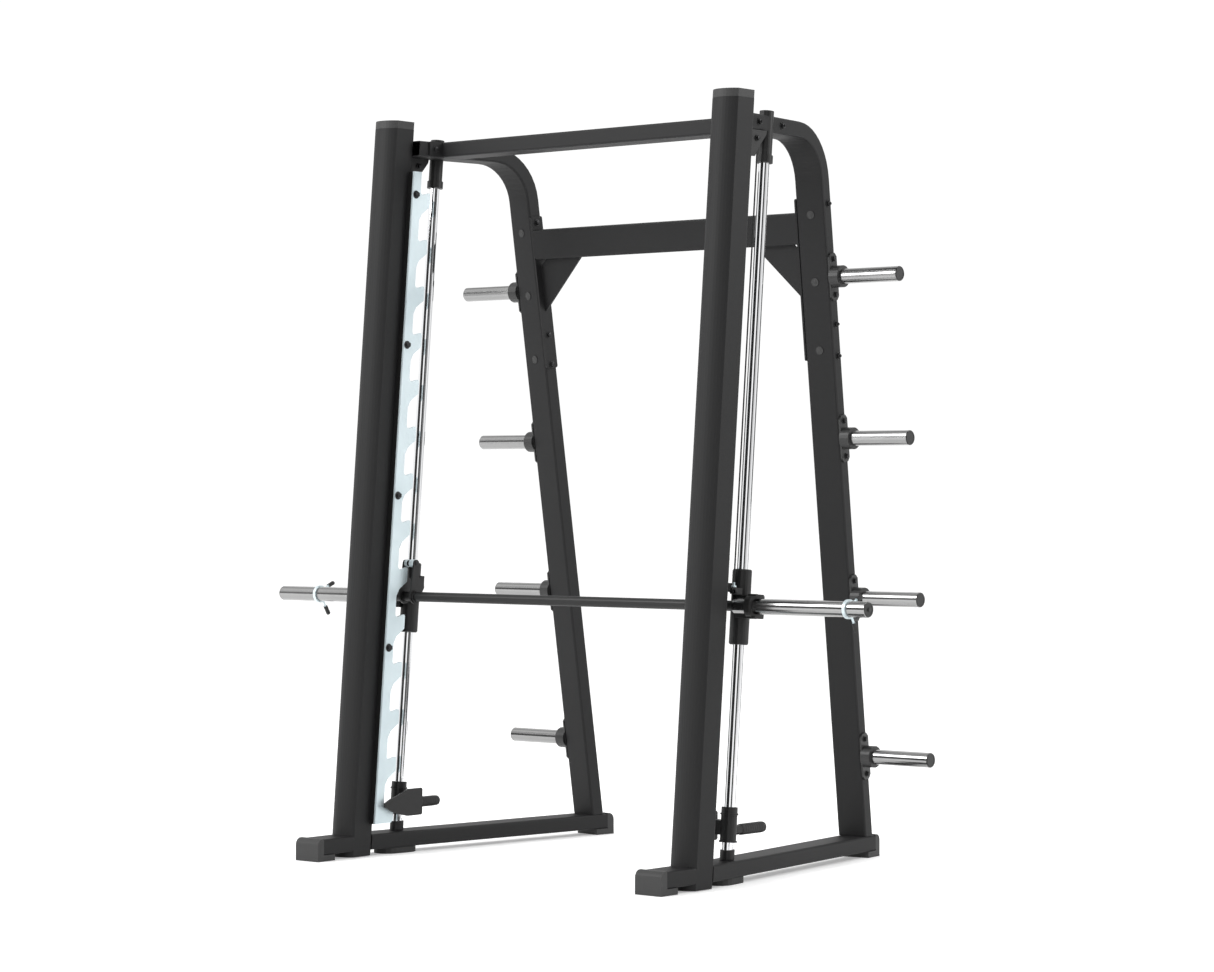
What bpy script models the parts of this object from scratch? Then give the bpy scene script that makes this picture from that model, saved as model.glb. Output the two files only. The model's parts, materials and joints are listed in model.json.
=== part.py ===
"""A counterbalanced smith machine, built as separate pieces in metres, +Z up.

The origin is on the floor at the middle of the base. X runs along the bar, -Y is the
lifter's side. Every side piece is modelled on the right (+X) and mirrored to the left.
"""

import bmesh
import bpy
from math import acos, cos, floor, pi, radians, sin, tan
from mathutils import Matrix, Vector

# ---- overall sizes
HEIGHT = 2.400
BASE_DEPTH = 1.3095
UPRIGHT_X = 0.706
LEAN = radians(5.0)         # uprights, guide rods and notch plates lean back
SPLAY = radians(8.0)        # side frames close in towards the rear, seen from above
LEG_LEAN = radians(8.0)     # rear legs lean forward within the side frame
GAP = 0.0003                # between pieces that touch

# ---- tubes
UPRIGHT_W = 0.100
UPRIGHT_SIDE = 0.082        # length of the straight side of the D section
UPRIGHT_BOW = 0.025         # how far its front bulges
UPRIGHT_BOTTOM = 0.002
UPRIGHT_WALL = 0.003
TUBE_W = 0.100
TUBE_H = 0.050
TUBE_WALL = 0.003
TUBE_CORNER = 0.006
BEAM_BOTTOM = 0.020
BEND_R = 0.165              # centre line of the bend from rear leg to top beam
BEND_STEPS = 10
TOP_BEAM_DROP = 0.0875      # top of the machine to the top beam's centre line
CAP_H = 0.025

# ---- places along the base, from the front foot
FRONT_SETBACK = 0.243       # front foot to the upright's rear face, at the floor
LEG_FOOT_S = 1.008          # upright's rear face to the rear leg's centre line, at the floor
FOOT_CAP_T = 0.028
FOOT_PAD_L = 0.078
FOOT_CAP_H = 0.0725
MID_PAD_S = 0.145
MID_PAD_L = 0.150
MID_PAD_W = 0.090

# ---- guide rod and carriage
ROD_X = 0.689
ROD_BEHIND = 0.1485         # upright's rear face to the rod's centre line
ROD_D = 0.034
SOCKET_D = 0.045
SOCKET_COLLAR_D = 0.053
SOCKET_COLLAR_H = 0.023
SOCKET_TOP_OVER_BEAM = 0.015
SOCKET_BELOW_BEAM = 0.095
BOTTOM_SOCKET_H = 0.031
BEARING_D = 0.060
BEARING_L = 0.223
CARRIAGE_Z = 0.8335
BAR_AHEAD = 0.066           # rod centre line to bar centre line
BAR_D = 0.032
BAR_OVERALL = 2.4266
SLEEVE_D = 0.048
SLEEVE_START_X = 0.724
SLEEVE_END_WALL = 0.006
SLEEVE_END_HOLE_R = 0.004
SLEEVE_RIM = 0.0015
BOSS_D = 0.076
BOSS_X = 0.779
BOSS_T = 0.021
BOSS_LIP_L = 0.012
CABLE_LUG_TOP = 0.056       # above the carriage's middle
CABLE_START = 0.072

# ---- hooks and notch plates
NOTCH_PITCH = 0.154
NOTCHES_BELOW = 5
HOOK_R = 0.109              # bar centre to hook pin centre
HOOK_REST = radians(-3.0)   # lean of the hook at rest, forward positive
HOOK_CLOSED = radians(23.0)
HOOK_PIN_D = 0.020
HOOK_PLATE_T = 0.006
HOOK_INNER_X = 0.6065
HOOK_OUTER_X = 0.6530
HOOK_HUB_D = 0.048
HOOK_TIP_R = 0.012
PLATE_X = 0.634
PLATE_T = 0.007
PLATE_FRONT = -0.016        # offsets from the upright's rear face
NOTCH_CLEARANCE = 0.001
LIP_REAR = 0.066
LIP_L = 0.046
LIP_SLANT = 0.039
RAIL_REAR = 0.014
PLATE_BOTTOM = 0.105
PLATE_TOP_DROP = 0.165

# ---- counterweight, cable and pulleys
WEIGHT_W = 0.070
WEIGHT_D = 0.050
WEIGHT_L = 0.480
WEIGHT_TOP_DROP = 0.645
WEIGHT_OFFSET = -0.045      # cable and weight, from the upright's rear face
CABLE_D = 0.005
CABLE_AHEAD = 0.060         # rod centre line to the lifting run of the cable
PULLEY_R = 0.020            # at the cable's centre line
PULLEY_RIM_R = 0.0225
PULLEY_W = 0.012
PULLEY_BELOW_BEAM = 0.0255
AXLE_D = 0.008
BRACKET_T = 0.005
SLOT_W = 0.034

# ---- crossbars
FLANGE_T = 0.006
TOP_BAR_S = 0.344
TOP_FLANGE_L = 0.190
REAR_BAR_DROP = 0.380
REAR_FLANGE_L = 0.516
REAR_FLANGE_DROP = 0.5415
GUSSET = 0.185
GUSSET_RELIEF = 0.028
GUSSET_T = 0.006

# ---- storage pegs
PEGS = 4
PEG_D = 0.048
PEG_L = 0.255
PEG_BOTTOM_Z = 0.331
PEG_BELOW_BEND = 0.306
PEG_PLATE_H = 0.150
PEG_PLATE_T = 0.006
PEG_COLLAR_D = 0.070
PEG_COLLAR_L = 0.040

# ---- spring collars and safety stops
COLLAR_X_RIGHT = 1.142
COLLAR_X_LEFT = 1.043
COLLAR_D = 0.058
COLLAR_W = 0.010
STOP_Z = 0.123
STOP_H = 0.106
STOP_D = 0.050
STOP_CORE_D = 0.044
STOP_RING_D = 0.056
STOP_RING_H = 0.005
STOP_HEAD_H = 0.018
SHIELD_X = 0.616
SHIELD_T = 0.006
LATCH_PIN_D = 0.016
LATCH_PIN_OFFSET = 0.0364
HANDLE_D = 0.030
HANDLE_REACH = 0.175
HANDLE_X = 0.682
HANDLE_DROP = 0.020

# ---- values that follow
FOOT_FRONT_Y = -BASE_DEPTH / 2
REAR_FACE_Y = FOOT_FRONT_Y + FRONT_SETBACK
BEAM_TOP = BEAM_BOTTOM + TUBE_H
BEAM_END_S = (BASE_DEPTH / 2 - TUBE_W / 2 * sin(SPLAY) - REAR_FACE_Y) / cos(SPLAY)
TOP_BEAM_Z = HEIGHT - TOP_BEAM_DROP
BEND_Z = TOP_BEAM_Z - BEND_R
BEND_S = LEG_FOOT_S - (BEND_R + BEND_Z * sin(LEG_LEAN)) / cos(LEG_LEAN)
PULLEY_Z = TOP_BEAM_Z - TUBE_H / 2 - PULLEY_BELOW_BEAM
ALONG_ROD = Vector((0, sin(LEAN), cos(LEAN)))
SHEAR = tan(LEAN)

COLOURS = {
    "frame": ((0.040, 0.040, 0.042, 1), 0.45, 0.3),
    "plastic": ((0.065, 0.065, 0.065, 1), 0.55, 0.0),
    "black": ((0.020, 0.021, 0.021, 1), 0.40, 0.3),
    "chrome": ((0.80, 0.80, 0.80, 1), 0.08, 1.0),
    "satin": ((0.62, 0.62, 0.61, 1), 0.28, 1.0),
    "zinc": ((0.72, 0.80, 0.82, 1), 0.35, 0.8),
    "iron": ((0.10, 0.10, 0.10, 1), 0.60, 0.5),
    "rubber": ((0.030, 0.030, 0.030, 1), 0.80, 0.0),
}


# ---- scene helpers
def clear_scene():
    for obj in list(bpy.data.objects):
        bpy.data.objects.remove(obj, do_unlink=True)


def material(name):
    made = bpy.data.materials.get(name)
    if made:
        return made
    colour, roughness, metallic = COLOURS[name]
    made = bpy.data.materials.new(name)
    made.use_nodes = True
    shader = made.node_tree.nodes["Principled BSDF"]
    shader.inputs["Base Color"].default_value = colour
    shader.inputs["Roughness"].default_value = roughness
    shader.inputs["Metallic"].default_value = metallic
    return made


def new_object(name, bm, finish="frame", smooth=True):
    bmesh.ops.recalc_face_normals(bm, faces=bm.faces)
    mesh = bpy.data.meshes.new(name)
    bm.to_mesh(mesh)
    bm.free()
    if smooth:
        mesh.shade_smooth()
        mesh.set_sharp_from_angle(angle=radians(35))
    obj = bpy.data.objects.new(name, mesh)
    mesh.materials.append(material(finish))
    part_collection.objects.link(obj)
    return obj


def apply_modifiers(obj):
    bpy.context.view_layer.update()
    evaluated = obj.evaluated_get(bpy.context.evaluated_depsgraph_get())
    mesh = bpy.data.meshes.new_from_object(evaluated)
    obj.modifiers.clear()
    obj.data = mesh


def combine(target, tools, operation):
    """Boolean target with each tool, which is used up."""
    for tool in tools:
        step = target.modifiers.new(operation.lower(), "BOOLEAN")
        step.operation = operation
        step.object = tool
        step.solver = "EXACT"
        apply_modifiers(target)
        bpy.data.objects.remove(tool, do_unlink=True)
    return target


def union(target, *tools):
    return combine(target, tools, "UNION")


def subtract(target, *tools):
    return combine(target, tools, "DIFFERENCE")


def set_origin(obj, point):
    obj.data.transform(Matrix.Translation(-Vector(point)))
    obj.location = point


def mirrored(obj, name):
    """The left-hand twin of a right-hand piece."""
    twin = bpy.data.objects.new(name, obj.data.copy())
    twin.data.transform(obj.matrix_basis)
    twin.data.transform(Matrix.Diagonal((-1, 1, 1, 1)))
    twin.data.flip_normals()
    twin.data.name = name
    part_collection.objects.link(twin)
    x, y, z = obj.location
    set_origin(twin, (-x, y, z))
    return twin


def both_sides(name, obj):
    obj.name = name + "_right"
    mirrored(obj, name + "_left")
    return obj


# ---- places
def rear_face(z):
    """Y of the upright's rear face at height z."""
    return REAR_FACE_Y + z * SHEAR


def rod_y(z):
    return rear_face(z) + ROD_BEHIND


def side_point(s, n, z):
    """A point in the right side frame: s rearward, n outward from its centre line."""
    x = UPRIGHT_X - s * sin(SPLAY) + n * cos(SPLAY)
    y = REAR_FACE_Y + s * cos(SPLAY) + n * sin(SPLAY)
    return Vector((x, y, z))


REARWARD = side_point(1, 0, 0) - side_point(0, 0, 0)
OUTWARD = side_point(0, 1, 0) - side_point(0, 0, 0)
UP = Vector((0, 0, 1))


def rod_frame(z):
    """Axes on the rod at height z: local Z runs up the rod, local -Y to the lifter."""
    return Matrix.Translation((ROD_X, rod_y(z), z)) @ Matrix.Rotation(-LEAN, 4, "X")


def bar_centre():
    return rod_frame(CARRIAGE_Z) @ Vector((0, -BAR_AHEAD, 0))


# ---- shape helpers
def arc(cx, cy, r, start, end, steps):
    """Points on an arc, angles in degrees, both ends included."""
    turn = radians(end - start)
    return [
        (cx + r * cos(radians(start) + turn * i / steps), cy + r * sin(radians(start) + turn * i / steps))
        for i in range(steps + 1)
    ]


def rounded_rectangle(width, height, corner=TUBE_CORNER, steps=2):
    a, b = width / 2 - corner, height / 2 - corner
    points = []
    for cx, cy, start in ((a, b, 0), (-a, b, 90), (-a, -b, 180), (a, -b, 270)):
        points += arc(cx, cy, corner, start, start + 90, steps)
    return points


def beam_section(inset=0.0):
    return rounded_rectangle(TUBE_W - 2 * inset, TUBE_H - 2 * inset, TUBE_CORNER - inset * 0.8)


def circle(radius, segments=24):
    turns = [2 * pi * i / segments for i in range(segments)]
    return [(radius * cos(turn), radius * sin(turn)) for turn in turns]


def upright_outline(grow=0.0):
    """D section at the floor, as X and Y, with its flat side to the rear."""
    half, corner = UPRIGHT_W / 2 + grow, TUBE_CORNER
    front = REAR_FACE_Y - UPRIGHT_SIDE
    bow_r = (UPRIGHT_W**2 / 4 + UPRIGHT_BOW**2) / (2 * UPRIGHT_BOW)
    centre = front - UPRIGHT_BOW + bow_r
    bow_r += grow
    reach = acos(half / bow_r) * 180 / pi
    points = arc(UPRIGHT_X, centre, bow_r, 180 + reach, 360 - reach, 12)
    rear = REAR_FACE_Y + grow
    points += arc(UPRIGHT_X + half - corner, rear - corner, corner, 0, 90, 2)
    points += arc(UPRIGHT_X - half + corner, rear - corner, corner, 90, 180, 2)
    return points


def upright_loop(z, grow=0.0):
    return [Vector((x, y + z * SHEAR, z)) for x, y in upright_outline(grow)]


def loop_of(outline, origin, u, v):
    return [Vector(origin) + a * Vector(u) + b * Vector(v) for a, b in outline]


def slid(loop, direction, point, normal):
    """A loop whose points are slid along direction onto a plane, as a mitre cut does."""
    direction, normal = Vector(direction), Vector(normal)
    return [p + direction * ((Vector(point) - p).dot(normal) / direction.dot(normal)) for p in loop]


def skin(name, loops, finish="frame", ring=False):
    """A surface through matching loops, filled at its ends, or joined last to first."""
    bm = bmesh.new()
    verts = [bm.verts.new(p) for p in loops[0]]
    edges = [bm.edges.new((verts[i - 1], verts[i])) for i in range(len(verts))]
    if not ring:
        bm.faces.new(verts)
    for loop in [*loops[1:], loops[0]] if ring else loops[1:]:
        made = bmesh.ops.extrude_edge_only(bm, edges=edges)["geom"]
        edges = [g for g in made if isinstance(g, bmesh.types.BMEdge)]
        fresh = {tuple(g.co): g for g in made if isinstance(g, bmesh.types.BMVert)}
        verts = [fresh[tuple(v.co)] for v in verts]
        for vert, point in zip(verts, loop):
            vert.co = point
    if ring:
        bmesh.ops.remove_doubles(bm, verts=bm.verts, dist=0.00001)
    else:
        bm.faces.new(verts)
    return new_object(name, bm, finish)


def tube(name, loops_at, wall=TUBE_WALL):
    """An open-ended tube. loops_at(inset) gives the loops of its outside or its bore."""
    return skin(name, loops_at(0) + loops_at(wall)[::-1], ring=True)


def box(name, low, high, finish="frame", matrix=None):
    low, high = Vector(low), Vector(high)
    bm = bmesh.new()
    place = Matrix.Translation((low + high) / 2) @ Matrix.Diagonal((*(high - low), 1))
    bmesh.ops.create_cube(bm, size=1, matrix=place)
    if matrix:
        bmesh.ops.transform(bm, matrix=matrix, verts=bm.verts)
    return new_object(name, bm, finish, smooth=False)


def cylinder(name, radius, start, end, finish="frame", segments=24, matrix=None, tip=None):
    """A cylinder, or a cone when tip gives the radius at its end."""
    start, end = Vector(start), Vector(end)
    along = end - start
    place = Matrix.Translation((start + end) / 2) @ along.to_track_quat("Z", "Y").to_matrix().to_4x4()
    bm = bmesh.new()
    bmesh.ops.create_cone(
        bm, cap_ends=True, segments=segments, radius1=radius,
        radius2=radius if tip is None else tip, depth=along.length, matrix=place,
    )
    if matrix:
        bmesh.ops.transform(bm, matrix=matrix, verts=bm.verts)
    return new_object(name, bm, finish)


def turned(name, profile, centre, finish, segments=24):
    """A closed profile, X and radius, turned about the line along X through centre."""
    bm = bmesh.new()
    verts = [bm.verts.new((x, r, 0)) for x, r in profile]
    edges = [bm.edges.new((verts[i - 1], verts[i])) for i in range(len(verts))]
    bmesh.ops.spin(
        bm, geom=verts + edges, cent=(0, 0, 0), axis=(1, 0, 0), angle=2 * pi, steps=segments, use_merge=True,
    )
    bmesh.ops.translate(bm, verts=bm.verts, vec=centre)
    return new_object(name, bm, finish)


def plate(name, outline, thickness, origin, u, v, finish="frame"):
    """A flat outline in the plane of u and v, thickened to both sides of it."""
    u, v = Vector(u), Vector(v)
    half = u.cross(v).normalized() * thickness / 2
    return skin(name, [loop_of(outline, Vector(origin) + side * half, u, v) for side in (-1, 1)], finish)


def against_upright(loop):
    """A side frame tube's loop slid forward to a cut along the upright's rear face."""
    return slid(loop, REARWARD, (0, rear_face(0) + GAP, 0), (0, cos(LEAN), -sin(LEAN)))


# ---- side frames
def build_upright():
    ends = (UPRIGHT_BOTTOM, HEIGHT - CAP_H - GAP)

    def loops_at(inset):
        return [upright_loop(z, -inset) for z in ends]

    body = tube("upright", loops_at, UPRIGHT_WALL)
    face = rear_face(PULLEY_Z)
    slot = box(
        "slot", (UPRIGHT_X - SLOT_W / 2, face - 0.012, PULLEY_Z - 0.026),
        (UPRIGHT_X + SLOT_W / 2, face + 0.012, TOP_BEAM_Z - TUBE_H / 2 - 0.0005),
    )
    both_sides("upright", subtract(body, slot))


def build_upright_cap():
    seam = HEIGHT - CAP_H
    levels = ((seam, HEIGHT, -0.0003), (seam - 0.030, seam + 0.002, -UPRIGHT_WALL - 0.0006))
    pieces = []
    for low, high, grow in levels:
        pieces.append(skin("cap", [upright_loop(low, grow), upright_loop(high, grow)], "plastic"))
    both_sides("upright_cap", union(*pieces))


def build_front_stub():
    z = (BEAM_BOTTOM + BEAM_TOP) / 2
    front = FOOT_FRONT_Y + FOOT_CAP_T + GAP
    back = REAR_FACE_Y - UPRIGHT_SIDE / 2

    def loops_at(inset):
        return [loop_of(beam_section(inset), (UPRIGHT_X, y, z), (1, 0, 0), UP) for y in (front, back)]

    cutter = skin("cope", [upright_loop(-0.05, GAP), upright_loop(0.15, GAP)])
    both_sides("front_stub", subtract(tube("front_stub", loops_at), cutter))


def build_base_beam():
    z = (BEAM_BOTTOM + BEAM_TOP) / 2

    def loops_at(inset):
        end = loop_of(beam_section(inset), side_point(BEAM_END_S - FOOT_CAP_T - GAP, 0, z), OUTWARD, UP)
        return [against_upright(end), end]

    both_sides("base_beam", tube("base_beam", loops_at))


def foot_outline():
    """Side view of a foot cap, from its outer face inward and upward."""
    r = 0.022
    points = [(0, 0), (0, FOOT_CAP_H - r)]
    points += arc(r, FOOT_CAP_H - r, r, 180, 90, 5)[1:]
    points += [(FOOT_CAP_T, FOOT_CAP_H), (FOOT_CAP_T, BEAM_BOTTOM - GAP)]
    points += [(FOOT_PAD_L, BEAM_BOTTOM - GAP), (FOOT_PAD_L, 0)]
    return points


def foot_cap(name, origin, inward, across):
    """A cap over the tube's end with a sole that runs in under it and a plug inside it."""
    loops = [loop_of(foot_outline(), origin + across * (side * TUBE_W / 2), inward, UP) for side in (-1, 1)]
    body = skin(name, loops, "plastic")
    inner = rounded_rectangle(TUBE_W - 2 * TUBE_WALL - 0.001, TUBE_H - 2 * TUBE_WALL - 0.001, 0.003)
    middle = origin + UP * (BEAM_BOTTOM + TUBE_H / 2)
    depths = (FOOT_CAP_T - 0.004, FOOT_CAP_T + 0.020)
    ends = [loop_of(inner, middle + inward * depth, across, UP) for depth in depths]
    return both_sides(name, union(body, skin("plug", ends, "plastic")))


def build_feet():
    foot_cap("front_foot_cap", Vector((UPRIGHT_X, FOOT_FRONT_Y, 0)), Vector((0, 1, 0)), Vector((1, 0, 0)))
    foot_cap("rear_foot_cap", side_point(BEAM_END_S, 0, 0), -REARWARD, OUTWARD)
    half = MID_PAD_L / 2 - MID_PAD_W / 2
    outline = arc(half, 0, MID_PAD_W / 2, -90, 90, 8) + arc(-half, 0, MID_PAD_W / 2, 90, 270, 8)
    heights = (0, BEAM_BOTTOM - GAP)
    loops = [loop_of(outline, side_point(MID_PAD_S, 0, z), REARWARD, OUTWARD) for z in heights]
    both_sides("mid_foot_pad", skin("mid_foot_pad", loops, "rubber"))


def build_rear_leg():
    """Rear leg and top beam, one bent tube from the base beam up and over to the upright."""
    down = REARWARD * sin(LEG_LEAN) - UP * cos(LEG_LEAN)

    def loops_at(inset):
        bend = []
        for i in range(BEND_STEPS + 1):
            angle = LEG_LEAN + (pi / 2 - LEG_LEAN) * i / BEND_STEPS
            out = REARWARD * cos(angle) + UP * sin(angle)
            middle = side_point(BEND_S, 0, BEND_Z) + out * BEND_R
            bend.append(loop_of(beam_section(inset), middle, OUTWARD, out))
        foot = slid(bend[0], down, (0, 0, BEAM_TOP + GAP), UP)
        return [foot, *bend, against_upright(bend[-1])]

    body = tube("rear_leg", loops_at)
    hole = cylinder("hole", SOCKET_D / 2 + GAP, (0, 0, -0.06), (0, 0, 0.06), matrix=rod_frame(TOP_BEAM_Z))
    both_sides("rear_leg", subtract(body, hole))


# ---- guide rods
def rod_cylinder(name, diameter, low, high, finish="black", segments=24):
    """A cylinder round the guide rod between two heights."""
    base = rod_frame(low)
    length = (high - low) / cos(LEAN)
    return cylinder(name, diameter / 2, (0, 0, 0), (0, 0, length), finish, segments, base)


def build_rod():
    top = TOP_BEAM_Z + TUBE_H / 2
    both_sides("guide_rod", rod_cylinder("guide_rod", ROD_D, BEAM_TOP + 0.004, top, "chrome"))
    bore = ROD_D + 2 * GAP
    head = top + SOCKET_TOP_OVER_BEAM
    lowest = TOP_BEAM_Z - TUBE_H / 2 - SOCKET_BELOW_BEAM
    socket = rod_cylinder("rod_top_socket", SOCKET_D, lowest, head)
    collar = rod_cylinder("collar", SOCKET_COLLAR_D, lowest - 0.0002, lowest + SOCKET_COLLAR_H)
    hole = rod_cylinder("hole", bore, lowest - 0.02, top + 0.002)
    both_sides("rod_top_socket", subtract(union(socket, collar), hole))

    outline = circle(SOCKET_D / 2)
    heights = (BEAM_TOP + GAP, BEAM_TOP + BOTTOM_SOCKET_H)
    loops = [loop_of(outline, (ROD_X, rod_y(z), z), (1, 0, 0), (0, 1, 0)) for z in heights]
    cup = skin("rod_bottom_socket", loops, "black")
    hole = rod_cylinder("hole", bore, BEAM_TOP + 0.0035, BEAM_TOP + 0.08)
    both_sides("rod_bottom_socket", subtract(cup, hole))


# ---- notch plates
def first_notch():
    """Height of the hook pin's centre when the hook is closed with the bar at rest."""
    return bar_centre().z + HOOK_R * cos(HOOK_CLOSED)


def pin_offset():
    """How far behind the upright's rear face the closed hook's pin stands."""
    return bar_centre().y - HOOK_R * sin(HOOK_CLOSED) - rear_face(first_notch())


def plate_top():
    return HEIGHT - PLATE_TOP_DROP


def notch_heights():
    above = floor((plate_top() - 0.03 - first_notch()) / NOTCH_PITCH)
    return [first_notch() + NOTCH_PITCH * i for i in range(above, -NOTCHES_BELOW - 1, -1)]


def notch_outline():
    """Offsets behind the upright's rear face and heights, from the top front corner."""
    seat_r = HOOK_PIN_D / 2 + NOTCH_CLEARANCE
    seat = pin_offset()
    points = [(PLATE_FRONT, PLATE_BOTTOM), (PLATE_FRONT, plate_top()), (seat - seat_r, plate_top())]
    heights = notch_heights()
    for i, z in enumerate(heights):
        points += arc(seat, z, seat_r, 180, 300, 5)
        points += [(LIP_REAR - 0.008, z - 0.0045), (LIP_REAR - 0.002, z - 0.006), (LIP_REAR, z - 0.012)]
        if i < len(heights) - 1:
            points += [(LIP_REAR, z - 0.005 - LIP_L), (seat, z - LIP_L - 0.75 * LIP_SLANT)]
            points += [(seat - seat_r, z - 0.012 - LIP_L - LIP_SLANT)]
    return points + [(LIP_REAR, PLATE_BOTTOM + 0.008), (LIP_REAR - 0.008, PLATE_BOTTOM)]


def leaning_sheet(name, outline, low_x, high_x, finish):
    loops = [[Vector((x, rear_face(z) + offset, z)) for offset, z in outline] for x in (low_x, high_x)]
    return skin(name, loops, finish)


def build_notch_plate():
    inner = PLATE_X - PLATE_T / 2
    both_sides("notch_plate", leaning_sheet("notch_plate", notch_outline(), inner, inner + PLATE_T, "zinc"))
    low, high = PLATE_BOTTOM, plate_top()
    outline = [(PLATE_FRONT, low), (PLATE_FRONT, high), (RAIL_REAR, high), (RAIL_REAR, low)]
    rail = leaning_sheet("rail", outline, inner + PLATE_T + GAP, UPRIGHT_X - UPRIGHT_W / 2 - GAP, "black")
    both_sides("notch_rail", rail)


# ---- counterweight system
def lift_run(z):
    """Centre of the cable's lifting run at height z."""
    return Vector((UPRIGHT_X, rod_y(z) - CABLE_AHEAD / cos(LEAN), z))


def weight_run(z):
    return Vector((UPRIGHT_X, rear_face(z) + WEIGHT_OFFSET, z))


def pulley_centres():
    """Rear pulley, then the front one inside the upright, at one height."""
    ahead = PULLEY_R / cos(LEAN)
    rear = lift_run(PULLEY_Z) - Vector((0, ahead, 0))
    front = weight_run(PULLEY_Z) + Vector((0, ahead, 0))
    return rear, front


def build_pulley(name, centre):
    half = PULLEY_W / 2
    root = PULLEY_R - CABLE_D / 2 - GAP
    bore = AXLE_D / 2 + GAP
    groove = CABLE_D / 2 - 0.0005
    profile = [
        (-half, bore), (-half, PULLEY_RIM_R), (0.002 - half, PULLEY_RIM_R), (-groove, root),
        (groove, root), (half - 0.002, PULLEY_RIM_R), (half, PULLEY_RIM_R), (half, bore),
    ]
    pulley = turned(name, profile, centre, "black", 20)
    set_origin(pulley, centre)
    both_sides(name, pulley)


def build_pulley_bracket():
    rear, front = pulley_centres()
    face = rear_face(PULLEY_Z)
    top = TOP_BEAM_Z - TUBE_H / 2 - GAP
    low = PULLEY_Z - 0.056
    outline = [
        (face + 0.008, top), (face + 0.008, PULLEY_Z + 0.013), (front.y - 0.011, PULLEY_Z + 0.013),
        (front.y - 0.011, PULLEY_Z - 0.013), (face + 0.004, PULLEY_Z - 0.013), (face + 0.004, low),
        (rear.y - 0.010, low), (rear.y + 0.016, PULLEY_Z - 0.020),
        (rear.y + 0.047, top - 0.012), (rear.y + 0.050, top),
    ]
    inside = PULLEY_W / 2 + 0.0015
    sides = []
    for sign in (-1, 1):
        origin = (UPRIGHT_X + sign * (inside + BRACKET_T / 2), 0, 0)
        sides.append(plate("bracket", outline, BRACKET_T, origin, (0, 1, 0), UP, "black"))
    reach = inside + BRACKET_T / 2
    joins = []
    for y, z, depth in ((rear.y + 0.030, top - 0.014, 0.016), (face + 0.008, low + 0.002, 0.014)):
        joins.append(box("web", (UPRIGHT_X - reach, y, z), (UPRIGHT_X + reach, y + depth, z + 0.012)))
    for centre in (rear, front):
        side = Vector((inside + BRACKET_T + 0.001, 0, 0))
        joins.append(cylinder("axle", AXLE_D / 2, centre - side, centre + side, segments=16))
    both_sides("pulley_bracket", union(*sides, *joins))


def cable_route():
    """From the carriage's lug up, over both pulleys and down to the counterweight."""
    rear, front = pulley_centres()
    lug = rod_frame(CARRIAGE_Z) @ Vector((0, 0, CABLE_START))
    points = [lift_run(lug.z)]
    steps = 6
    for i in range(steps + 1):
        angle = -LEAN + (pi / 2 + LEAN) * i / steps
        points.append(rear + Vector((0, cos(angle), sin(angle))) * PULLEY_R)
    for i in range(steps + 1):
        angle = pi / 2 + (pi / 2 - LEAN) * i / steps
        points.append(front + Vector((0, cos(angle), sin(angle))) * PULLEY_R)
    points.append(weight_run(HEIGHT - WEIGHT_TOP_DROP + GAP))
    return points


def build_cable():
    curve = bpy.data.curves.new("cable", "CURVE")
    curve.dimensions = "3D"
    curve.bevel_depth = CABLE_D / 2
    curve.bevel_resolution = 2
    curve.render_resolution_u = 0
    curve.use_fill_caps = True
    route = cable_route()
    spline = curve.splines.new("POLY")
    spline.points.add(len(route) - 1)
    for spot, point in zip(spline.points, route):
        spot.co = (*point, 1)
    wire = bpy.data.objects.new("cable_curve", curve)
    part_collection.objects.link(wire)
    bpy.context.view_layer.update()
    mesh = bpy.data.meshes.new_from_object(wire.evaluated_get(bpy.context.evaluated_depsgraph_get()))
    bm = bmesh.new()
    bm.from_mesh(mesh)
    bmesh.ops.remove_doubles(bm, verts=bm.verts, dist=0.00001)
    bpy.data.objects.remove(wire, do_unlink=True)
    both_sides("cable", new_object("cable", bm, "rubber"))


def build_counterweight():
    top = HEIGHT - WEIGHT_TOP_DROP
    outline = rounded_rectangle(WEIGHT_W, WEIGHT_D, 0.004)
    loops = [loop_of(outline, weight_run(z), (1, 0, 0), (0, 1, 0)) for z in (top - WEIGHT_L, top)]
    both_sides("counterweight", skin("counterweight", loops, "iron"))


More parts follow.
